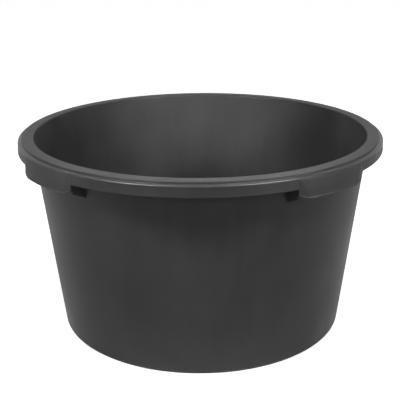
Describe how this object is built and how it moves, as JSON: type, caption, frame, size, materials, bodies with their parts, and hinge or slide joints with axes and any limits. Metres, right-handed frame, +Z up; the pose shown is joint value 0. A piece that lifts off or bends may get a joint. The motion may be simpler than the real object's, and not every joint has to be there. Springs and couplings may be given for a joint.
{
  "type": "mortar mixing tub",
  "caption": "Round black plastic tub for mixing mortar, with a tapering wall, a stepped rim with a turned-down skirt, and deeper grips with finger gaps behind them.",
  "frame": {"origin": "on the floor, under the centre of the base", "axes": "+Z up along the tub's axis; +X and +Y each point through the middle of a grip"},
  "size_m": [0.6762, 0.6762, 0.365],
  "materials": {
    "polyethylene": "moulded black polyethylene, satin, with a fine texture"
  },
  "bodies": {
    "root": {"base_panel": "polyethylene", "heel_ring": "polyethylene", "wall_shell": "polyethylene", "rim_deck": "polyethylene", "grip_right": "polyethylene", "grip_right_first_rib": "polyethylene", "grip_right_second_rib": "polyethylene", "rim_skirt_back_right": "polyethylene", "grip_back": "polyethylene", "grip_back_first_rib": "polyethylene", "grip_back_second_rib": "polyethylene", "rim_skirt_back_left": "polyethylene", "grip_left": "polyethylene", "grip_left_first_rib": "polyethylene", "grip_left_second_rib": "polyethylene", "rim_skirt_front_left": "polyethylene", "grip_front": "polyethylene", "grip_front_first_rib": "polyethylene", "grip_front_second_rib": "polyethylene", "rim_skirt_front_right": "polyethylene"}
  },
  "joints": []
}
